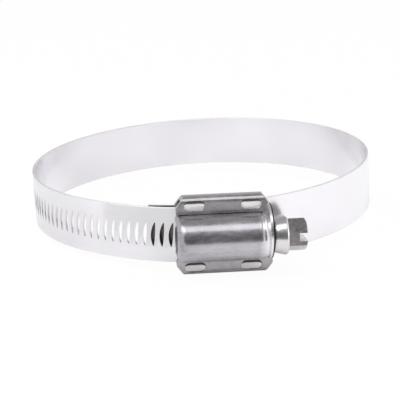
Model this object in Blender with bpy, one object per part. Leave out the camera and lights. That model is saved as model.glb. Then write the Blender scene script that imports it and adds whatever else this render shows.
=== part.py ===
"""Worm drive hose clamp: a slotted band, a folded saddle, a housing and a worm screw.

The ring of the clamp lies flat with its axis upright. The housing is at the front, on the
-Y side, and the screw runs along X with its hexagon head at +X. Lengths are in metres.
"""

import math

import bmesh
import bpy
from mathutils import Vector

for old in list(bpy.data.objects):
    bpy.data.objects.remove(old, do_unlink=True)

MM = 0.001

# Clearances between pieces
SHEET_GAP = 0.15 * MM
BAND_LIFT = 0.5 * MM
FLANGE_GAP = 0.3 * MM
FOLD_GAP = 0.4 * MM
SCREW_GAP = 0.3 * MM
BAND_SIDE_GAP = 2.1 * MM
LIP_TO_BARREL = 0.8 * MM

# Band
BAND_INNER_RADIUS = 51.6 * MM
BAND_WIDTH = 15.9 * MM
BAND_THICKNESS = 0.7 * MM
BAND_EDGE = 0.2 * MM
BAND_SKEW = math.radians(2.3)
BAND_RISE = 0.45 * MM
INNER_SEAT = 22.0 * MM
INNER_SEAT_BLEND = 12.0 * MM
OUTER_EXIT_BEND = 16.0 * MM
OUTER_EXIT_SWEEP = 71.0 * MM
TONGUE_LENGTH = 7.0 * MM
FREE_END_REACH = 9.8 * MM
FREE_END_CLIP = 1.8 * MM

# Slots of the band
SLOT_COUNT = 40
SLOT_PITCH = 2.62 * MM
SLOT_LENGTH = 6.9 * MM
SLOT_BULGE_FAR = 1.0 * MM
SLOT_BULGE_NEAR = 0.32 * MM
SLOT_END_WIDTH = 0.26 * MM

# Saddle
SADDLE_THICKNESS = 1.1 * MM
SADDLE_LENGTH = 26.2 * MM
SADDLE_LEAN = 0.8 * MM
SADDLE_BEND = 0.3 * MM
CORNER_LENGTH = 2.1 * MM
CORNER_WIDTH = 2.8 * MM
STAKE_LENGTH = 5.8 * MM
STAKE_DEPTH = 0.55 * MM
STAKE_TILT = math.radians(10.0)
STAKE_SPACING = 15.8 * MM
STAKE_FROM_FOLD = 0.95 * MM
STAKE_FROM_TIP = 0.55 * MM

# Housing
HOUSING_THICKNESS = 1.0 * MM
BARREL_OVERHANG = 0.2 * MM
BARREL_SETBACK = 0.1 * MM
FLANGE_SETBACK = 0.3 * MM
BARREL_ROUNDING = 2.0 * MM
NECK_DEPTH = 0.2 * MM
FLARE_RADIUS = 1.2 * MM
FLARE_DRAFT = math.radians(8.0)
RIM_THICKNESS = 1.0 * MM
RIM_EDGE = 0.2 * MM
RIM_RISE = 1.4 * MM

# Screw
THREAD_RADIUS = 5.05 * MM
THREAD_BITE = 0.5 * MM
THREAD_CREST = 0.45 * MM
THREAD_FLANK = math.radians(20.0)
THREAD_FROM_TIP = 2.3 * MM
THREAD_FROM_RIM = 4.6 * MM
THREAD_RUN_OUT = 0.5
THREAD_ROOT = 0.3 * MM
CORE_RADIUS = 3.8 * MM
NECK_SLOPE = 0.6 * MM
TIP_CHAMFER = 0.4 * MM
COLLAR_SETBACK = 0.1 * MM
COLLAR_SMALL_RADIUS = 4.6 * MM
COLLAR_RADIUS = 5.55 * MM
COLLAR_TAPER = 3.8 * MM
COLLAR_ROUNDING = 0.8 * MM
HEX_ACROSS_FLATS = 7.94 * MM
HEX_LENGTH = 5.2 * MM
HEX_FACE_EDGE = 0.2 * MM
HEX_CHAMFER = math.radians(30.0)
HEX_TURN = math.radians(27.0)
DRIVER_SLOT_WIDTH = 2.3 * MM
DRIVER_SLOT_DEPTH = 2.3 * MM
DRIVER_SLOT_TURN = math.radians(-4.0)

# Facets
RING_STEP = math.radians(3.6)
SLOT_ROWS = 6
BEND_SIDES = 4
BARREL_SIDES = 16
SCREW_SIDES = 32
THREAD_SIDES = 20
RIGHT_ANGLE = math.pi / 2
FULL_TURN = 2 * math.pi
SHARP_ANGLE = math.radians(35)
ROUND_OFF = 1e-6

# Distances from the ring's axis, worked out through the stack of sheets at the housing
ring_mid = BAND_INNER_RADIUS + BAND_THICKNESS / 2
ring_outer = BAND_INNER_RADIUS + BAND_THICKNESS
blend_reach = ring_mid - INNER_SEAT_BLEND
inner_band_mid = INNER_SEAT_BLEND + math.sqrt(blend_reach**2 - (INNER_SEAT / 2) ** 2)
saddle_inner = inner_band_mid + BAND_THICKNESS / 2 + SHEET_GAP
outer_band_mid = saddle_inner + SADDLE_THICKNESS + BAND_LIFT + BAND_THICKNESS / 2
outer_band_face = outer_band_mid + BAND_THICKNESS / 2
flange_inner = outer_band_face + FLANGE_GAP
flange_outer = flange_inner + HOUSING_THICKNESS
lip_inner = flange_outer + FLANGE_GAP
lip_outer = lip_inner + SADDLE_THICKNESS
worm_to_band = THREAD_RADIUS - THREAD_BITE
screw_axis = outer_band_face + worm_to_band

# Sizes of the housing and the saddle that follow from the band and the screw
saddle_half_width = BAND_WIDTH / 2 + BAND_SIDE_GAP + SADDLE_THICKNESS
flange_end = SADDLE_LENGTH / 2 - FLANGE_SETBACK
barrel_left = SADDLE_LENGTH / 2 + BARREL_OVERHANG
barrel_right = SADDLE_LENGTH / 2 - BARREL_SETBACK
bore_radius = THREAD_RADIUS + SCREW_GAP
barrel_radius = bore_radius + HOUSING_THICKNESS
lip_width = saddle_half_width - barrel_radius - LIP_TO_BARREL
stake_width = lip_width - STAKE_FROM_FOLD - STAKE_FROM_TIP
tip_hole = barrel_radius - BARREL_ROUNDING
rounding = (BARREL_ROUNDING - barrel_left, tip_hole)
flare_level = barrel_radius - NECK_DEPTH + FLARE_RADIUS
rim_radius = flare_level + RIM_EDGE
flare_x = barrel_right - RIM_THICKNESS - RIM_EDGE * math.tan(FLARE_DRAFT)
flare_x -= FLARE_RADIUS / math.cos(FLARE_DRAFT)

# Sizes of the screw that follow from the band and the housing
thread_left = barrel_left - THREAD_FROM_TIP
thread_right = barrel_right - THREAD_FROM_RIM
lead_angle = math.atan2(SLOT_PITCH, FULL_TURN * THREAD_RADIUS)
first_slot = FREE_END_REACH - FREE_END_CLIP - SLOT_PITCH / 2
tip_radius = tip_hole - SCREW_GAP
neck_radius = worm_to_band - SCREW_GAP
collar_start = barrel_right - COLLAR_SETBACK
collar_end = collar_start + COLLAR_TAPER + COLLAR_ROUNDING
hex_end = collar_end + HEX_LENGTH

# The part's origin is under the middle of its box, on the surface that it lies on
band_low = BAND_WIDTH / 2 * math.cos(BAND_SKEW) + ring_outer * math.sin(BAND_SKEW)
front = screw_axis + rim_radius
clamp = bpy.data.objects.new("clamp", None)
clamp.location = (0, (front - ring_outer) / 2, max(saddle_half_width, band_low - BAND_RISE))
bpy.context.collection.objects.link(clamp)


def steel(name, colour, roughness):
    """Bare steel with its own colour and roughness."""
    material = bpy.data.materials.new(name)
    material.use_nodes = True
    shader = material.node_tree.nodes["Principled BSDF"]
    shader.inputs["Base Color"].default_value = (*colour, 1.0)
    shader.inputs["Metallic"].default_value = 1.0
    shader.inputs["Roughness"].default_value = roughness
    return material


def place(bm, name, material=None):
    """Make a bmesh a named object in the clamp, with outward faces and smooth round surfaces."""
    bm.normal_update()
    bmesh.ops.recalc_face_normals(bm, faces=bm.faces)
    mesh = bpy.data.meshes.new(name)
    bm.to_mesh(mesh)
    bm.free()
    mesh.shade_smooth()
    mesh.set_sharp_from_angle(angle=SHARP_ANGLE)
    if material:
        mesh.materials.append(material)
    piece = bpy.data.objects.new(name, mesh)
    bpy.context.collection.objects.link(piece)
    piece.parent = clamp
    return piece


def combine(piece, tool, operation):
    """Add or cut one solid with another, which is used up, and shade the result again."""
    modifier = piece.modifiers.new(tool.name, "BOOLEAN")
    modifier.operation = operation
    modifier.solver = "EXACT"
    modifier.object = tool
    depsgraph = bpy.context.evaluated_depsgraph_get()
    mesh = bpy.data.meshes.new_from_object(piece.evaluated_get(depsgraph))
    piece.modifiers.remove(modifier)
    piece.data = mesh
    mesh.shade_smooth()
    mesh.set_sharp_from_angle(angle=SHARP_ANGLE)
    bpy.data.objects.remove(tool, do_unlink=True)


def loft(sections, bm=None):
    """A closed solid through sections that have the same number of points."""
    bm = bm or bmesh.new()
    loops = [[bm.verts.new(point) for point in section] for section in sections]
    count = len(loops[0])
    for near, far in zip(loops, loops[1:]):
        for i in range(count):
            j = (i + 1) % count
            bm.faces.new((near[i], near[j], far[j], far[i]))
    bm.faces.new(loops[0])
    bm.faces.new(loops[-1])
    return bm


def revolve(profile, sides):
    """A turned solid on the X axis, from the (x, radius) points of its side."""
    turns = [FULL_TURN * i / sides for i in range(sides)]
    return loft([[(x, r * math.cos(a), r * math.sin(a)) for a in turns] for x, r in profile])


def prism(outline, low, high, bm=None):
    """A solid between two Y levels, from an outline of (x, z) points."""
    return loft([[(x, y, z) for x, z in outline] for y in (low, high)], bm)


def arc(centre, radius, start, end, steps):
    """Points of an arc from one angle to another."""
    turns = [start + (end - start) * i / steps for i in range(steps + 1)]
    return [(centre[0] + radius * math.cos(a), centre[1] + radius * math.sin(a)) for a in turns]


def follow(legs, start, heading, distance):
    """Point and heading at a distance along a route of legs, each a length and its turn."""
    point = Vector(start)
    for length, turn in legs:
        step = min(distance, length)
        part = turn * step / length
        middle = heading + part / 2
        chord = step * math.sin(part / 2) / (part / 2) if part else step
        point += chord * Vector((math.cos(middle), math.sin(middle)))
        heading += part
        distance -= step
        if distance <= 0:
            break
    return point, heading


def marks(legs, angle):
    """Distances along a route at its corners, and through its round legs by steps of an angle."""
    distances = [0.0]
    for length, turn in legs:
        steps = max(1, math.ceil(abs(turn) / angle - ROUND_OFF))
        begin = distances[-1]
        distances += [begin + length * (i + 1) / steps for i in range(steps)]
    return distances


# Band: one strip that is slotted, rolled into a ring and overlapped under the housing
def band_route():
    """Legs of the strip's middle line, clockwise from its free end to the tip of its tongue."""
    sag = BAND_LIFT - SHEET_GAP
    seat = SADDLE_LENGTH / 2 - math.sqrt(sag * (2 * OUTER_EXIT_BEND - sag))
    bend_centre = Vector((seat, outer_band_mid - OUTER_EXIT_BEND))
    aside = OUTER_EXIT_SWEEP - ring_mid
    between = (OUTER_EXIT_SWEEP - OUTER_EXIT_BEND) ** 2 - bend_centre.length_squared - aside**2
    outer_turn = math.atan2(*bend_centre)
    outer_turn += math.acos(between / (2 * aside * bend_centre.length))
    sweep_centre = -aside * Vector((math.sin(outer_turn), math.cos(outer_turn)))
    bend_turn = math.atan2(*(bend_centre - sweep_centre))
    sweep_turn = outer_turn - bend_turn
    inner_turn = math.asin(INNER_SEAT / 2 / blend_reach)
    ring_turn = FULL_TURN - outer_turn - inner_turn
    tongue = SADDLE_LENGTH / 2 - INNER_SEAT / 2 - INNER_SEAT_BLEND * inner_turn + TONGUE_LENGTH
    return [
        (FREE_END_REACH + seat, 0.0),
        (OUTER_EXIT_BEND * bend_turn, -bend_turn),
        (OUTER_EXIT_SWEEP * sweep_turn, -sweep_turn),
        (ring_mid * ring_turn, -ring_turn),
        (INNER_SEAT_BLEND * inner_turn, -inner_turn),
        (INNER_SEAT, 0.0),
        (INNER_SEAT_BLEND * inner_turn, -inner_turn),
        (tongue, -tongue / ring_mid),
    ]


def slot_sides(middle):
    """The two curved sides of a slot, as (distance, height) points from its foot to its head."""
    near, far = [], []
    slant = math.tan(lead_angle + BAND_SKEW)
    chord = middle - (SLOT_BULGE_FAR - SLOT_BULGE_NEAR) / 2
    for i in range(SLOT_ROWS + 1):
        height = SLOT_LENGTH * (i / SLOT_ROWS - 0.5)
        lean = chord - height * slant
        for side, bulge, way in ((near, SLOT_BULGE_NEAR, -1), (far, SLOT_BULGE_FAR, 1)):
            rise = bulge - SLOT_END_WIDTH / 2
            radius = (SLOT_LENGTH**2 / 4 + rise**2) / (2 * rise)
            swell = math.sqrt(radius**2 - height**2) - (radius - rise) + SLOT_END_WIDTH / 2
            side.append((lean + way * swell, height))
    return near, far


def flat_blank(stations):
    """The strip before it is rolled: X is the distance from its free end, Z its height."""
    bm = bmesh.new()
    half = BAND_WIDTH / 2
    rows = [SLOT_LENGTH * (i / SLOT_ROWS - 0.5) for i in range(SLOT_ROWS + 1)]

    def column(distance, heights):
        return [bm.verts.new((distance, 0, height)) for height in heights]

    def panel(left, right):
        bm.faces.new([*left, *reversed(right)])

    end = column(0, (FREE_END_CLIP - half, half - FREE_END_CLIP))
    left = column(FREE_END_CLIP, (-half, *rows, half))
    panel(end, left)
    for i in range(SLOT_COUNT):
        middle = FREE_END_CLIP + SLOT_PITCH * (i + 0.5)
        right = column(middle + SLOT_PITCH / 2, (-half, *rows, half))
        near, far = [[bm.verts.new((x, 0, z)) for x, z in side] for side in slot_sides(middle)]
        bm.faces.new((left[0], left[1], near[0], far[0], right[1], right[0]))
        bm.faces.new((left[-1], left[-2], near[-1], far[-1], right[-2], right[-1]))
        for j in range(SLOT_ROWS):
            bm.faces.new((left[j + 1], left[j + 2], near[j + 1], near[j]))
            bm.faces.new((far[j], far[j + 1], right[j + 2], right[j + 1]))
        left = right
    for distance in stations:
        if distance > left[0].co.x + SLOT_PITCH / 2:
            right = column(distance, (-half, half))
            panel(left, right)
            left = right
    return bm


def make_band():
    legs = band_route()
    bm = flat_blank(marks(legs, RING_STEP))
    bmesh.ops.recalc_face_normals(bm, faces=bm.faces)
    raised = bmesh.ops.extrude_face_region(bm, geom=bm.faces[:])["geom"]
    raised = [item for item in raised if isinstance(item, bmesh.types.BMVert)]
    bmesh.ops.translate(bm, verts=raised, vec=(0, BAND_THICKNESS, 0))
    long_edges = [
        edge
        for edge in bm.edges
        if all(abs(abs(vert.co.z) - BAND_WIDTH / 2) < BAND_EDGE / 2 for vert in edge.verts)
        and abs(edge.verts[0].co.x - edge.verts[1].co.x) > BAND_EDGE
    ]
    bmesh.ops.bevel(bm, geom=long_edges, offset=BAND_EDGE, segments=1, profile=0.5, affect="EDGES")
    for vert in bm.verts:
        distance, level, height = vert.co
        point, heading = follow(legs, (FREE_END_REACH, -outer_band_mid), math.pi, distance)
        outwards = Vector((-math.sin(heading), math.cos(heading)))
        point += (level - BAND_THICKNESS / 2) * outwards
        vert.co = (point.x, point.y, height)
    band = place(bm, "band", steel("band_steel", (0.86, 0.86, 0.85), 0.22))
    band.rotation_euler.y = -BAND_SKEW
    band.location.z = BAND_RISE
    return band


# Saddle: a plate whose two long edges are folded up and over the housing's flanges
def lean_at(height):
    """How much longer the plate is at its right end than at the top of its upper fold."""
    return SADDLE_LEAN * (1 - height / saddle_half_width) / 2


def make_saddle():
    bend = SADDLE_BEND + SADDLE_THICKNESS / 2
    wall = lip_inner - saddle_inner - 2 * bend
    lip = lip_width - bend - SADDLE_THICKNESS / 2
    base = 2 * (saddle_half_width - bend - SADDLE_THICKNESS / 2)
    corner = (RIGHT_ANGLE * bend, RIGHT_ANGLE)
    legs = [(lip, 0), corner, (wall, 0), corner, (base, 0), corner, (wall, 0), corner, (lip, 0)]
    start = (lip_width - saddle_half_width, lip_inner + SADDLE_THICKNESS / 2)
    inner, outer = [], []
    for distance in marks(legs, RIGHT_ANGLE / BEND_SIDES):
        point, heading = follow(legs, start, math.pi, distance)
        aside = SADDLE_THICKNESS / 2 * Vector((-math.sin(heading), math.cos(heading)))
        inner.append(point + aside)
        outer.append(point - aside)
    outline = inner + outer[::-1]
    half = SADDLE_LENGTH / 2
    left = [(-half, -level, height) for height, level in outline]
    right = [(half + lean_at(height), -level, height) for height, level in outline]
    bm = loft([left, right])
    saddle = place(bm, "saddle", steel("saddle_steel", (0.60, 0.60, 0.60), 0.30))
    combine(saddle, corner_cutter("saddle_corners", 0), "DIFFERENCE")
    combine(saddle, stake_cutter(), "DIFFERENCE")
    return saddle


def corner_cutter(name, inset):
    """Four wedges whose long sides run past the corners of a plate, to clip them."""
    bm = bmesh.new()
    width = saddle_half_width - inset
    for side in (-1, 1):
        for way in (-1, 1):
            length = SADDLE_LENGTH / 2 - inset
            if side > 0:
                length += lean_at(way * saddle_half_width)
            wedge = [
                (side * (length - 2 * CORNER_LENGTH), way * (width + CORNER_WIDTH)),
                (side * (length + CORNER_LENGTH), way * (width - 2 * CORNER_WIDTH)),
                (side * (length + CORNER_LENGTH), way * (width + CORNER_WIDTH)),
            ]
            prism(wedge, -(lip_outer + SADDLE_THICKNESS), -(saddle_inner - SADDLE_THICKNESS), bm)
    return place(bm, name)


def stake_cutter():
    """Four oval punches, deeper at the top, that lock the folded lips to the housing's flanges."""
    bm = bmesh.new()
    radius = stake_width / 2
    straight = STAKE_LENGTH / 2 - radius
    for side in (-1, 1):
        for way in (-1, 1):
            x, z = side * STAKE_SPACING / 2, way * (saddle_half_width - STAKE_FROM_FOLD - radius)
            outline = arc((x + straight, z), radius, -RIGHT_ANGLE, RIGHT_ANGLE, 2 * BEND_SIDES)
            outline += arc((x - straight, z), radius, RIGHT_ANGLE, 3 * RIGHT_ANGLE, 2 * BEND_SIDES)
            above = [(x, -(lip_outer + SADDLE_THICKNESS), z) for x, z in outline]
            slope = math.tan(STAKE_TILT)
            floor = [(x, STAKE_DEPTH - lip_outer + (height - z) * slope, height) for x, height in outline]
            loft([above, floor], bm)
    return place(bm, "saddle_stakes")


# Housing: a drawn barrel over the screw, with flat flanges under the saddle's lips
def arched(sections, risen):
    """A solid with an arch over the screw's axis, through (x, radius, level of its feet).

    The arch rises between the start of the flare and the place where it has risen.
    """
    turns = arc((0, 0), 1, -RIGHT_ANGLE, RIGHT_ANGLE, BARREL_SIDES)
    outlines = []
    for x, radius, foot in sections:
        rise = RIM_RISE * min(1, max(0, x - flare_x) / (risen - flare_x)) ** 2
        arch = [(x, -(screw_axis + radius * out), rise + radius * across) for out, across in turns]
        outlines.append([(x, -foot, rise - radius), *arch, (x, -foot, rise + radius)])
    return loft(outlines)


def barrel_side(thickness):
    """Side of the barrel as (x, radius) points, at a depth in the sheet: left part, then flare."""
    radius = barrel_radius - thickness
    flare = FLARE_RADIUS + thickness
    sink = math.acos((flare_level - radius) / flare)
    left = arc(rounding, BARREL_ROUNDING - thickness, math.pi, RIGHT_ANGLE, BEND_SIDES)
    left += arc((flare_x, flare_level), flare, -RIGHT_ANGLE - sink, -RIGHT_ANGLE, BEND_SIDES)
    reach = min(RIGHT_ANGLE - FLARE_DRAFT, math.asin(min(1, (barrel_right - flare_x) / flare)))
    flared = arc((flare_x, flare_level), flare, -RIGHT_ANGLE, reach - RIGHT_ANGLE, 2 * BEND_SIDES)
    return left, flared[1:]


def make_housing():
    width = saddle_half_width - SADDLE_THICKNESS - FOLD_GAP
    plate = [(-flange_end, -width), (flange_end, -width), (flange_end, width), (-flange_end, width)]
    plate = prism(plate, -flange_outer, -flange_inner)
    housing = place(plate, "housing", steel("housing_steel", (0.58, 0.58, 0.58), 0.26))
    combine(housing, corner_cutter("flange_corners", FOLD_GAP), "DIFFERENCE")

    over_lips = lip_outer + SHEET_GAP
    left, flared = barrel_side(0)
    rim = [(barrel_right - RIM_THICKNESS, rim_radius), (barrel_right, rim_radius)]
    barrel = [(x, radius, flange_inner) for x, radius in left]
    barrel += [(x, radius, over_lips) for x, radius in flared + rim]
    combine(housing, place(arched(barrel, barrel_right - RIM_THICKNESS), "barrel"), "UNION")

    left, flared = barrel_side(HOUSING_THICKNESS)
    bore = [(-barrel_left - HOUSING_THICKNESS, tip_hole), *left, *flared]
    bore.append((barrel_right + HOUSING_THICKNESS, flared[-1][1]))
    bore = [(x, radius, saddle_inner) for x, radius in bore]
    combine(housing, place(arched(bore, barrel_right), "bore"), "DIFFERENCE")
    return housing


# Screw: a headed worm whose thread runs through the slots of the band
def worm_thread():
    """A ridge wound round the core, with its crest in the middle of each slot it meets."""
    root = CORE_RADIUS - THREAD_ROOT
    begin = (-thread_left - first_slot) / SLOT_PITCH
    end = (thread_right - first_slot) / SLOT_PITCH
    steps = math.ceil((end - begin) * THREAD_SIDES)
    sections = []
    for i in range(steps + 1):
        turns = begin + (end - begin) * i / steps
        fade = min(1, (turns - begin) / THREAD_RUN_OUT, (end - turns) / THREAD_RUN_OUT)
        crest = root + THREAD_ROOT / 2 + (THREAD_RADIUS - root - THREAD_ROOT / 2) * fade
        middle = first_slot + SLOT_PITCH * turns
        angle = FULL_TURN * turns
        section = []
        for radius, side in ((root, -1), (crest, -1), (crest, 1), (root, 1)):
            half = THREAD_CREST / 2 + (THREAD_RADIUS - radius) * math.tan(THREAD_FLANK)
            across = (radius * math.cos(angle), radius * math.sin(angle))
            section.append((middle + side * half, *across))
        sections.append(section)
    return loft(sections)


def hexagon_head():
    """The hexagon, whose end is trimmed by a cone."""
    corner = HEX_ACROSS_FLATS / math.sqrt(3)
    turns = [HEX_TURN + FULL_TURN * i / 6 for i in range(6)]
    around = [(corner * math.cos(a), corner * math.sin(a)) for a in turns]
    ends = (collar_end - COLLAR_ROUNDING, hex_end)
    head = place(loft([[(x, y, z) for y, z in around] for x in ends]), "head")
    head.location.y = -screw_axis
    trim = HEX_ACROSS_FLATS / 2 - HEX_FACE_EDGE
    wide = 2 * corner
    fall = (wide - trim) * math.tan(HEX_CHAMFER)
    cone = [(collar_start, wide), (hex_end - fall, wide), (hex_end, trim)]
    cone = place(revolve(cone, SCREW_SIDES), "head_cone")
    cone.location.y = -screw_axis
    combine(head, cone, "INTERSECT")
    return head


def make_screw():
    left = barrel_left
    profile = [
        (-left, tip_radius - TIP_CHAMFER),
        (TIP_CHAMFER - left, tip_radius),
        (HOUSING_THICKNESS + SCREW_GAP - left, tip_radius),
        (HOUSING_THICKNESS + SCREW_GAP - left, CORE_RADIUS),
        (thread_right, CORE_RADIUS),
        (thread_right + NECK_SLOPE, neck_radius),
        (flare_x, neck_radius),
        (collar_start, COLLAR_SMALL_RADIUS),
    ]
    shoulder = (collar_start + COLLAR_TAPER, COLLAR_RADIUS - COLLAR_ROUNDING)
    profile += arc(shoulder, COLLAR_ROUNDING, RIGHT_ANGLE, 0, BEND_SIDES)
    screw = place(revolve(profile, SCREW_SIDES), "screw", steel("screw_steel", (0.62, 0.62, 0.62), 0.28))
    thread = place(worm_thread(), "thread")
    half = DRIVER_SLOT_WIDTH / 2
    outline = [(hex_end - DRIVER_SLOT_DEPTH, -half), (hex_end + half, -half)]
    outline += [(hex_end + half, half), (hex_end - DRIVER_SLOT_DEPTH, half)]
    driver_slot = place(prism(outline, -HEX_ACROSS_FLATS, HEX_ACROSS_FLATS), "driver_slot")
    driver_slot.rotation_euler.x = DRIVER_SLOT_TURN
    for piece in (screw, thread, driver_slot):
        piece.location.y = -screw_axis
    combine(screw, hexagon_head(), "UNION")
    combine(screw, thread, "UNION")
    combine(screw, driver_slot, "DIFFERENCE")
    return screw


make_band()
make_saddle()
make_housing()
make_screw()
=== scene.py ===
import math

import bmesh
import bpy
from mathutils import Matrix, Vector


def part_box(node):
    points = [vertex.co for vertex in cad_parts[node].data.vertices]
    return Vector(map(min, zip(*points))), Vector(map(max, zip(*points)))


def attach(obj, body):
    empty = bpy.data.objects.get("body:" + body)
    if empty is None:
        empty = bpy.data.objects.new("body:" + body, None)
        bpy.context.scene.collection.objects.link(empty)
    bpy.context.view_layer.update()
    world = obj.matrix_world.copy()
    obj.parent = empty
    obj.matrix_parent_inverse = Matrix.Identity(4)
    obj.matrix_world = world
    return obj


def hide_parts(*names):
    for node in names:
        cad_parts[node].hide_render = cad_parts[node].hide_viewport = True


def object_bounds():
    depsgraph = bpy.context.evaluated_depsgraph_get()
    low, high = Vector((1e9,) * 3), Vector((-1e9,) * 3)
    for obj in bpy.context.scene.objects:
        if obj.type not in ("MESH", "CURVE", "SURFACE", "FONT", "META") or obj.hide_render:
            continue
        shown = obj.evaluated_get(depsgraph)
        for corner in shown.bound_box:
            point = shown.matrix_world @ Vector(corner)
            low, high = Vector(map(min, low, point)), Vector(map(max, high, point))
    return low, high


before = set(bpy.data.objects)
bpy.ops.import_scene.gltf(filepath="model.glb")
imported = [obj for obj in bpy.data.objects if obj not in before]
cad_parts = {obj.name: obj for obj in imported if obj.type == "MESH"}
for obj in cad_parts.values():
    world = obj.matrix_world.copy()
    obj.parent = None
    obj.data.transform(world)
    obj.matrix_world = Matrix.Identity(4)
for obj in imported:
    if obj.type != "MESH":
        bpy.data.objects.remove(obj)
cad_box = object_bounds()

# Band: one strip of bright stainless steel, punched with slots and rolled into a ring, with both ends
# under the housing. Its grain runs along it and its slit edges are dull. The inner layer, which shows
# through the slots next to the housing, is painted dark as the shade between the two layers.
MM = 0.001
WELD = 0.001 * MM
FLAT = math.radians(0.3)
SHARP = math.radians(32)
BAND_ROUNDING = 0.06 * MM
RING_RADIUS = 52.3 * MM
RING_MARGIN = 0.1 * MM
SHADED_STRETCH = (-21 * MM, 13 * MM)
FACING_UP = 0.5
CLOUD_SCALE = 170.0
DRIFT_SCALE = 28.0
WEAR_SPREAD = (0.3, 0.7)
DRIFT_SPREAD = (0.38, 0.62)
CREVICE_SHADE_SPREAD = (0.1, 0.5)
BUMP_HEIGHT = 0.01 * MM


def merged(name):
    """A copy of a solid's mesh, with its flat facets made one."""
    bm = bmesh.new()
    bm.from_mesh(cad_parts[name].data)
    bmesh.ops.remove_doubles(bm, verts=bm.verts, dist=WELD)
    bmesh.ops.dissolve_limit(bm, angle_limit=FLAT, verts=bm.verts, edges=bm.edges)
    return bm


def dressed(bm, name, body, slot, rounding, *materials):
    """The finished piece of a solid, with its sharp edges rounded over."""
    mesh = bpy.data.meshes.new(f"{name}_finished")
    bm.to_mesh(mesh)
    bm.free()
    mesh.shade_smooth()
    mesh.set_sharp_from_angle(angle=SHARP)
    for material in materials:
        mesh.materials.append(material)
    piece = bpy.data.objects.new(f"{name}_finished", mesh)
    bpy.context.collection.objects.link(piece)
    bevel = piece.modifiers.new("rounded edges", "BEVEL")
    bevel.width = rounding
    bevel.segments = 2
    bevel.limit_method = "ANGLE"
    bevel.angle_limit = SHARP
    bevel.harden_normals = True
    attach(piece, body)
    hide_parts(name)


def node(tree, kind, inputs=None, **settings):
    """A new shader node with its settings, and with its inputs set to values or linked to sockets."""
    made = tree.nodes.new(f"ShaderNode{kind}")
    for name, value in settings.items():
        setattr(made, name, value)
    for name, value in (inputs or {}).items():
        if isinstance(value, bpy.types.NodeSocket):
            tree.links.new(value, made.inputs[name])
        else:
            made.inputs[name].default_value = value
    return made


def spread(tree, value, start, end, low=0.0, high=1.0):
    """A value taken from one range to another, which it never leaves."""
    ends = {"From Min": start, "From Max": end, "To Min": low, "To Max": high}
    return node(tree, "MapRange", {"Value": value, **ends}).outputs["Result"]


def mixed(tree, factor, first, second, blend="MIX"):
    """Two colours mixed by a factor, or multiplied."""
    inputs = {"Factor": factor, "A": first, "B": second}
    return node(tree, "Mix", inputs, data_type="RGBA", blend_type=blend).outputs["Result"]


def bare_steel(name, colour, roughness, grain, streak, cloud, fade, crevice, crevice_shade, drift=0.08):
    """Stainless steel with fine grain lines, cloudy duller patches, faint bumps and painted shade in
    crevices.

    Grain is the lines' fineness per metre along X, Y and Z: small along the lines, large across.
    Streak is the strength of their bumps, and cloud is the patches' share of the wear. Fade is how
    far the colour falls there. Crevice is how wide a gap gets painted shade, and the crevice shade is
    what is left of the colour in it. Drift is the slow change of tone along the sheet.
    """
    material = bpy.data.materials.new(name)
    material.use_nodes = True
    tree = material.node_tree
    where = node(tree, "TexCoord").outputs["Object"]
    fine = node(tree, "Mapping", {"Vector": where, "Scale": grain}).outputs["Vector"]
    lines = node(tree, "TexNoise", {"Vector": fine, "Scale": 1.0, "Detail": 4.0}).outputs["Fac"]
    clouds = node(tree, "TexNoise", {"Vector": where, "Scale": CLOUD_SCALE, "Detail": 3.0})
    wear = node(tree, "Mix", {"Factor": cloud, "A": lines, "B": clouds.outputs["Fac"]})
    wear = wear.outputs["Result"]
    slow = node(tree, "TexNoise", {"Vector": where, "Scale": DRIFT_SCALE, "Detail": 1.0})
    openness = node(tree, "AmbientOcclusion", {"Distance": crevice}, only_local=True, samples=8)

    dull = [channel * (1 - fade) for channel in colour]
    tone = mixed(tree, spread(tree, wear, *WEAR_SPREAD), (*dull, 1), (*colour, 1))
    # Painted shade: the colour darkens where ambient occlusion finds a close gap.
    unshaded = spread(tree, openness.outputs["AO"], *CREVICE_SHADE_SPREAD, crevice_shade)
    tone = mixed(tree, 1.0, tone, unshaded, "MULTIPLY")
    drifting = spread(tree, slow.outputs["Fac"], *DRIFT_SPREAD, 1 - drift)
    tone = mixed(tree, 1.0, tone, drifting, "MULTIPLY")
    relief = node(tree, "Bump", {"Height": lines, "Strength": streak, "Distance": BUMP_HEIGHT})

    shader = tree.nodes["Principled BSDF"]
    shader.inputs["Metallic"].default_value = 1.0
    tree.links.new(tone, shader.inputs["Base Color"])
    tree.links.new(spread(tree, wear, *WEAR_SPREAD, *roughness), shader.inputs["Roughness"])
    tree.links.new(relief.outputs["Normal"], shader.inputs["Normal"])
    return material


# Every steel below paints shade into its crevices, down to its crevice shade level.
BAND_STEEL = bare_steel(
    "rolled band steel", colour=(0.968, 0.952, 0.986), roughness=(0.17, 0.27), grain=(30, 30, 2200),
    streak=0.06, cloud=0.6, fade=0.05, crevice=3 * MM, crevice_shade=0.08, drift=0.14,
)
# Painted shade: the dark colour of the inner layer where it lies in the shade of the outer one.
SHADED_INNER_STEEL = bare_steel(
    "inner steel with painted shade", colour=(0.24, 0.215, 0.21), roughness=(0.3, 0.5), grain=(900, 900, 900),
    streak=0.2, cloud=0.5, fade=0.3, crevice=1 * MM, crevice_shade=0.4,
)
EDGE_STEEL = bare_steel(
    "slit edge steel", colour=(0.98, 0.96, 0.97), roughness=(0.5, 0.7), grain=(900, 900, 900),
    streak=0.2, cloud=0.5, fade=0.2, crevice=1 * MM, crevice_shade=0.4,
)
low, high = cad_box
ring_centre = Vector((0, high.y - RING_RADIUS, (low.z + high.z) / 2))
band = merged("band")
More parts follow.
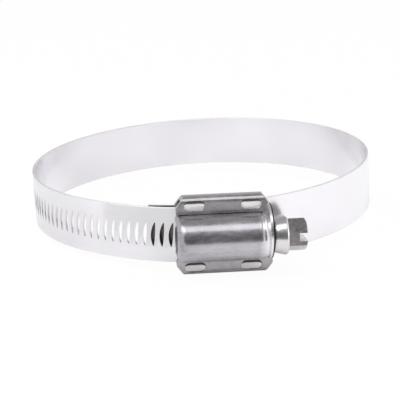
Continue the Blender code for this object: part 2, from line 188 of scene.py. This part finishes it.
# Along the shaded stretch, the inner layer's outward faces and edges take the painted shade.
for face in band.faces:
    middle = face.calc_center_median()
    inner = middle.y < 0 and (middle - ring_centre).xy.length < RING_RADIUS + RING_MARGIN
    shaded = inner and SHADED_STRETCH[0] < middle.x < SHADED_STRETCH[1]
    if abs(face.normal.z) > FACING_UP:
        face.material_index = 1 if shaded else 2
    elif shaded and face.normal.y < 0:
        face.material_index = 1
dressed(
    band, "band", "clamp_body", "band_steel", BAND_ROUNDING, BAND_STEEL, SHADED_INNER_STEEL, EDGE_STEEL
)

# Saddle: a pressed stainless plate between the two layers of the band. Its long edges are folded up
# and over the housing's flanges, to lie close along the barrel. An oval punch has staked each fold in
# two places, which leaves smooth shiny floors. Their walls that don't face up are painted dark as
# shade.
SADDLE_ROUNDING = 0.12 * MM
LIP_TIP = 7.15 * MM
LIP_TIP_MARGIN = 0.1 * MM
LIP_DEPTH = 2 * MM
LIP_CLOSE = 0.65 * MM
STAKE_ALONG = (4.9 * MM, 10.9 * MM)
STAKE_ACROSS = (7.5 * MM, 10.3 * MM)
STAKE_MIDDLE = 8.95 * MM
STAKE_REACH = 1 * MM
STAKE_SWELL = 1.2
STAKE_SLOPE = 0.6
FLOOR_FROM = 0.3 * MM
FLOOR_DEPTH = 0.55 * MM
SHADED_WALL_FACING = 0.3

SADDLE_STEEL = bare_steel(
    "pressed saddle steel", colour=(0.60, 0.585, 0.60), roughness=(0.2, 0.42),
    grain=(500, 1100, 1100), streak=0.9, cloud=0.45, fade=0.35, crevice=0.6 * MM, crevice_shade=0.85,
)
STAKE_STEEL = bare_steel(
    "punched floor steel", colour=(0.95, 0.93, 0.92), roughness=(0.12, 0.25),
    grain=(700, 700, 700), streak=0.3, cloud=0.6, fade=0.2, crevice=0.6 * MM, crevice_shade=0.25,
)
# Painted shade: the dark colour of the stake walls that don't face up.
SHADED_WALL_STEEL = bare_steel(
    "punched wall steel with painted shade", colour=(0.14, 0.13, 0.13), roughness=(0.3, 0.5),
    grain=(900, 900, 900), streak=0.3, cloud=0.5, fade=0.3, crevice=0.6 * MM, crevice_shade=0.4,
)
low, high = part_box("saddle")
axis_height = (low.z + high.z) / 2
saddle = merged("saddle")
floors = []
for vert in saddle.verts:
    across = vert.co.z - axis_height
    depth = vert.co.y - low.y
    along = STAKE_ALONG[0] < abs(vert.co.x) < STAKE_ALONG[1]
    if abs(abs(across) - LIP_TIP) < LIP_TIP_MARGIN and depth < LIP_DEPTH:
        vert.co.z -= math.copysign(LIP_CLOSE, across)
    elif along and depth < STAKE_REACH and STAKE_ACROSS[0] < abs(across) < STAKE_ACROSS[1]:
        middle = axis_height + math.copysign(STAKE_MIDDLE, across)
        if abs(across) < STAKE_MIDDLE:
            vert.co.z = middle + STAKE_SWELL * (vert.co.z - middle)
        if depth > FLOOR_FROM:
            vert.co.y = low.y + FLOOR_DEPTH
            vert.co.z -= STAKE_SLOPE * max(0, vert.co.z - middle)
            floors.append(vert)
saddle.normal_update()
# Floors take the punched floor steel, and walls beside them that don't face up the painted shade.
for face in saddle.faces:
    on_floor = sum(vert in floors for vert in face.verts)
    if on_floor == len(face.verts):
        face.material_index = 1
    elif on_floor and face.normal.z < SHADED_WALL_FACING:
        face.material_index = 2
dressed(
    saddle, "saddle", "clamp_body", "saddle_steel", SADDLE_ROUNDING,
    SADDLE_STEEL, STAKE_STEEL, SHADED_WALL_STEEL,
)

# Housing: a barrel drawn from stainless sheet over the screw, with two flat flanges. The tool closes
# its left end to a round shoulder and flares its right end out to a rim. That end is painted lighter
# as a painted highlight on the flare, and the rim's face is painted dark as the shade in its gap.
HOUSING_ROUNDING = 0.15 * MM
BARREL = (-11.0 * MM, 9.5 * MM)
SHADED_RIM_FACE = (12.65 * MM, 14 * MM)
HIGHLIGHT_SPAN = (9.0 * MM, 11.2 * MM)
HIGHLIGHT_COLOUR = (0.86, 0.84, 0.87, 1)

HOUSING_STEEL = bare_steel(
    "drawn housing steel", colour=(0.61, 0.59, 0.63), roughness=(0.18, 0.36),
    grain=(400, 1100, 1100), streak=0.8, cloud=0.5, fade=0.3, crevice=0.8 * MM, crevice_shade=0.95,
)
# Painted shade: the dark colour of the rim's face and of the worm and neck inside the housing.
SHADED_GAP_STEEL = bare_steel(
    "gap steel with painted shade", colour=(0.07, 0.065, 0.065), roughness=(0.3, 0.5),
    grain=(900, 900, 900), streak=0.3, cloud=0.5, fade=0.3, crevice=0.6 * MM, crevice_shade=0.4,
)
# Painted highlight: the colour grows lighter towards the flared right end, from 9 mm to 11.2 mm along
# X.
tree = HOUSING_STEEL.node_tree
base = tree.nodes["Principled BSDF"].inputs["Base Color"]
place = node(tree, "SeparateXYZ", {"Vector": tree.nodes["Texture Coordinate"].outputs["Object"]})
highlighted = spread(tree, place.outputs["X"], *HIGHLIGHT_SPAN)
tree.links.new(mixed(tree, highlighted, base.links[0].from_socket, HIGHLIGHT_COLOUR), base)


def parted(bm, start, end, index):
    """Cuts a piece across at two places along X, and gives the part between them a material."""
    for place in (start, end):
        everything = bm.verts[:] + bm.edges[:] + bm.faces[:]
        bmesh.ops.bisect_plane(bm, geom=everything, plane_co=(place, 0, 0), plane_no=(1, 0, 0))
    for face in bm.faces:
        if start < face.calc_center_median().x < end:
            face.material_index = index


housing = merged("housing")
parted(housing, *BARREL, 0)
# The rim's face takes the painted shade.
parted(housing, *SHADED_RIM_FACE, 1)
dressed(
    housing, "housing", "clamp_body", "housing_steel", HOUSING_ROUNDING, HOUSING_STEEL, SHADED_GAP_STEEL
)

# Screw: turned from stainless bar, with a rolled worm thread, a bright conical collar and a forged
# hexagon head that a screwdriver slot crosses. The lathe leaves fine rings and the head is duller.
# The head's faces that don't face down and the worm and neck inside the housing are painted dark as
# shade.
SCREW_ROUNDING = 0.1 * MM
SHADED_NECK_END = 13.6 * MM
HEAD_START = 17.55 * MM
HEAD_SHADE_FACING = -0.5

SCREW_STEEL = bare_steel(
    "turned screw steel", colour=(0.84, 0.82, 0.83), roughness=(0.16, 0.3),
    grain=(1800, 200, 200), streak=0.3, cloud=0.5, fade=0.15, crevice=1.5 * MM, crevice_shade=0.1,
)
SHADED_HEAD_STEEL = bare_steel(
    "forged head steel with painted shade", colour=(0.41, 0.385, 0.395), roughness=(0.22, 0.45),
    grain=(1100, 1100, 1100), streak=0.9, cloud=0.3, fade=0.4, crevice=0.6 * MM, crevice_shade=0.4,
)
screw = merged("screw")
# The worm and neck, up to where the screw leaves the housing, take the painted shade.
parted(screw, -SHADED_NECK_END, SHADED_NECK_END, 2)
# Painted shade: the head's faces that don't face down take the darker head colour.
for face in screw.faces:
    if face.calc_center_median().x > HEAD_START and face.normal.z > HEAD_SHADE_FACING:
        face.material_index = 1
dressed(
    screw, "screw", "worm_screw", "screw_steel", SCREW_ROUNDING,
    SCREW_STEEL, SHADED_HEAD_STEEL, SHADED_GAP_STEEL,
)

# Table: a plain white studio table of matt paint. The clamp rests on it and leaves a faint shadow.
# The camera sees it nearly white, however the lamps stand.
TABLE_SIZE = 4.0
TABLE_DROP = 0.02 * MM
TABLE_PAINT = 0.93
TABLE_ROUGHNESS = 0.9
TABLE_WHITE = {"Is Camera Ray": 0.95, "Is Glossy Ray": 0.15, "Is Transmission Ray": 0.15}

table_white = bpy.data.materials.new("table white")
table_white.use_nodes = True
tree = table_white.node_tree
paint = tree.nodes["Principled BSDF"]
paint.inputs["Base Color"].default_value = (TABLE_PAINT, TABLE_PAINT, TABLE_PAINT, 1)
paint.inputs["Roughness"].default_value = TABLE_ROUGHNESS
paint.inputs["Specular IOR Level"].default_value = 0.0
path = node(tree, "LightPath")
share = 0.0
for ray, white in TABLE_WHITE.items():
    inputs = {0: path.outputs[ray], 1: white, 2: share}
    share = node(tree, "Math", inputs, operation="MULTIPLY_ADD").outputs["Value"]
bright = node(tree, "Emission").outputs["Emission"]
blend = node(tree, "MixShader", {"Fac": share, 1: paint.outputs["BSDF"], 2: bright})
tree.links.new(blend.outputs["Shader"], tree.nodes["Material Output"].inputs["Surface"])

bm = bmesh.new()
bmesh.ops.create_grid(bm, x_segments=1, y_segments=1, size=TABLE_SIZE / 2)
bmesh.ops.translate(bm, verts=bm.verts, vec=(0, 0, -TABLE_DROP))
table_mesh = bpy.data.meshes.new("table")
bm.to_mesh(table_mesh)
bm.free()
table_mesh.materials.append(table_white)
table = bpy.data.objects.new("table", table_mesh)
bpy.context.collection.objects.link(table)

# Studio: a white sweep behind the table, a white wall at each side, and a dark room before them. Soft
# boxes hang over the front and at both sides. Light that the metal throws back twice comes evenly
# from all over the room, so that the gaps don't go black.
ROOM_LIGHT = 0.77
BEHIND = ((0.0, 0.95), (0.12, 0.85), (0.3, 0.65), (0.55, 0.42), (1.0, 0.42))
BEFORE = ((0.0, 0.25), (0.1, 0.15), (0.42, 0.16), (0.6, 0.3), (1.0, 0.42))
BEFORE_TO_BEHIND = (-0.5, 0.1)
WALLS_FROM = (0.42, 0.65)
WALL_WHITE = (0.95, 0.95, 0.95, 1)
FILL_GREY = (0.58, 0.58, 0.58, 1)
WHITE = (1, 1, 1, 1)

world = bpy.data.worlds.new("studio")
bpy.context.scene.world = world
world.use_nodes = True
tree = world.node_tree
path = node(tree, "LightPath").outputs
split = node(tree, "SeparateXYZ", {"Vector": node(tree, "TexCoord").outputs["Generated"]}).outputs


def ramp(height, stops):
    """Grey levels at heights of the room, from the horizon (0) to overhead (1)."""
    levels = node(tree, "ValToRGB", {"Fac": height})
    elements = levels.color_ramp.elements
    for i, (position, level) in enumerate(stops):
        element = elements[i] if i < 2 else elements.new(position)
        element.position = position
        element.color = (level, level, level, 1)
    return levels.outputs["Color"]


facing = spread(tree, split["Y"], *BEFORE_TO_BEHIND)
room = mixed(tree, facing, ramp(split["Z"], BEFORE), ramp(split["Z"], BEHIND))
aside = node(tree, "Math", {0: split["X"]}, operation="ABSOLUTE").outputs["Value"]
room = mixed(tree, spread(tree, aside, *WALLS_FROM), room, WALL_WHITE)
room = mixed(tree, spread(tree, path["Glossy Depth"], 1.0, 2.0), room, FILL_GREY)

plain = tree.nodes["Background"]
plain.inputs["Color"].default_value = WHITE
plain.inputs["Strength"].default_value = ROOM_LIGHT
plain = plain.outputs["Background"]
mirrored = node(tree, "Background", {"Color": room}).outputs["Background"]
white = node(tree, "Background", {"Color": WHITE}).outputs["Background"]
lit = node(tree, "MixShader", {"Fac": path["Is Glossy Ray"], 1: plain, 2: mirrored})
seen = node(tree, "MixShader", {"Fac": path["Is Camera Ray"], 1: lit.outputs["Shader"], 2: white})
tree.links.new(seen.outputs["Shader"], tree.nodes["World Output"].inputs["Surface"])


def soft_box(name, distance, turn, height, size, level):
    """A rectangular lamp that faces the housing, at a level that a white mirror would show."""
    light = bpy.data.lights.new(name, "AREA")
    light.shape = "RECTANGLE"
    light.size, light.size_y = size
    light.energy = level * math.pi * light.size * light.size_y
    lamp = bpy.data.objects.new(name, light)
    bpy.context.collection.objects.link(lamp)
    low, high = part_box("housing")
    lean = Matrix.Rotation(math.radians(90 - height), 4, "X")
    aim = Matrix.Translation((low + high) / 2) @ Matrix.Rotation(math.radians(turn), 4, "Z")
    lamp.matrix_world = aim @ lean @ Matrix.Translation((0, 0, distance))


soft_box("front soft box", distance=0.9, turn=-4, height=69, size=(0.8, 0.5), level=1.15)
soft_box("left soft box", distance=0.9, turn=-52, height=58, size=(0.75, 0.5), level=1.6)
soft_box("right soft box", distance=1.1, turn=70, height=14, size=(0.6, 0.4), level=1.6)

# Cards: two upright cards that the camera can't see. The black one in front gives the housing and the
# screw their dark reflections, and the grey one at the left tones down what the band mirrors there.
CARD_HEIGHT = 30 * MM
BLACK_CARD = ((-25 * MM, -117 * MM), (50 * MM, -117 * MM))
BLACK_LEVEL = 0.14
GREY_CARD = ((-58 * MM, -40 * MM), (-16 * MM, -68 * MM))
GREY_LEVEL = 0.77


def card(name, ends, level):
    """A card between two places on the table, at the level that a white mirror would show."""
    material = bpy.data.materials.new(name)
    material.use_nodes = True
    shader = material.node_tree.nodes["Principled BSDF"]
    shader.inputs["Base Color"].default_value = (0, 0, 0, 1)
    shader.inputs["Emission Color"].default_value = (level, level, level, 1)
    shader.inputs["Emission Strength"].default_value = 1.0
    bm = bmesh.new()
    foot = [bm.verts.new((x, y, 0)) for x, y in ends]
    raised = bmesh.ops.extrude_edge_only(bm, edges=[bm.edges.new(foot)])["geom"]
    raised = [item for item in raised if isinstance(item, bmesh.types.BMVert)]
    bmesh.ops.translate(bm, verts=raised, vec=(0, 0, CARD_HEIGHT))
    mesh = bpy.data.meshes.new(name)
    bm.to_mesh(mesh)
    bm.free()
    mesh.materials.append(material)
    piece = bpy.data.objects.new(name, mesh)
    bpy.context.collection.objects.link(piece)
    piece.visible_camera = False
    piece.visible_diffuse = False
    piece.visible_shadow = False


card("black card", BLACK_CARD, BLACK_LEVEL)
card("grey card", GREY_CARD, GREY_LEVEL)

# Camera: a long lens a little above the clamp, turned slightly to its left. The clamp leans in the
# picture as it does in the photo.
CAMERA_DISTANCE = 443 * MM
CAMERA_HEIGHT = math.radians(16.42)
CAMERA_TURN = math.radians(-5.3)
CAMERA_ROLL = math.radians(-3.38)
CLAMP_LEAN = math.radians(-2.3)
CAMERA_ASIDE = (-0.41 * MM, -5.55 * MM)
CAMERA_LENS = 126.8

camera = bpy.data.objects.new("camera", bpy.data.cameras.new("camera"))
bpy.context.collection.objects.link(camera)
camera.data.lens = CAMERA_LENS
camera.matrix_world = (
    Matrix.Translation(ring_centre)
    @ Matrix.Rotation(CLAMP_LEAN, 4, "Y")
    @ Matrix.Rotation(CAMERA_TURN, 4, "Z")
    @ Matrix.Rotation(math.pi / 2 - CAMERA_HEIGHT, 4, "X")
    @ Matrix.Rotation(CAMERA_ROLL, 4, "Z")
    @ Matrix.Translation((*CAMERA_ASIDE, CAMERA_DISTANCE))
)
bpy.context.scene.camera = camera
bpy.context.scene.view_settings.view_transform = "Standard"
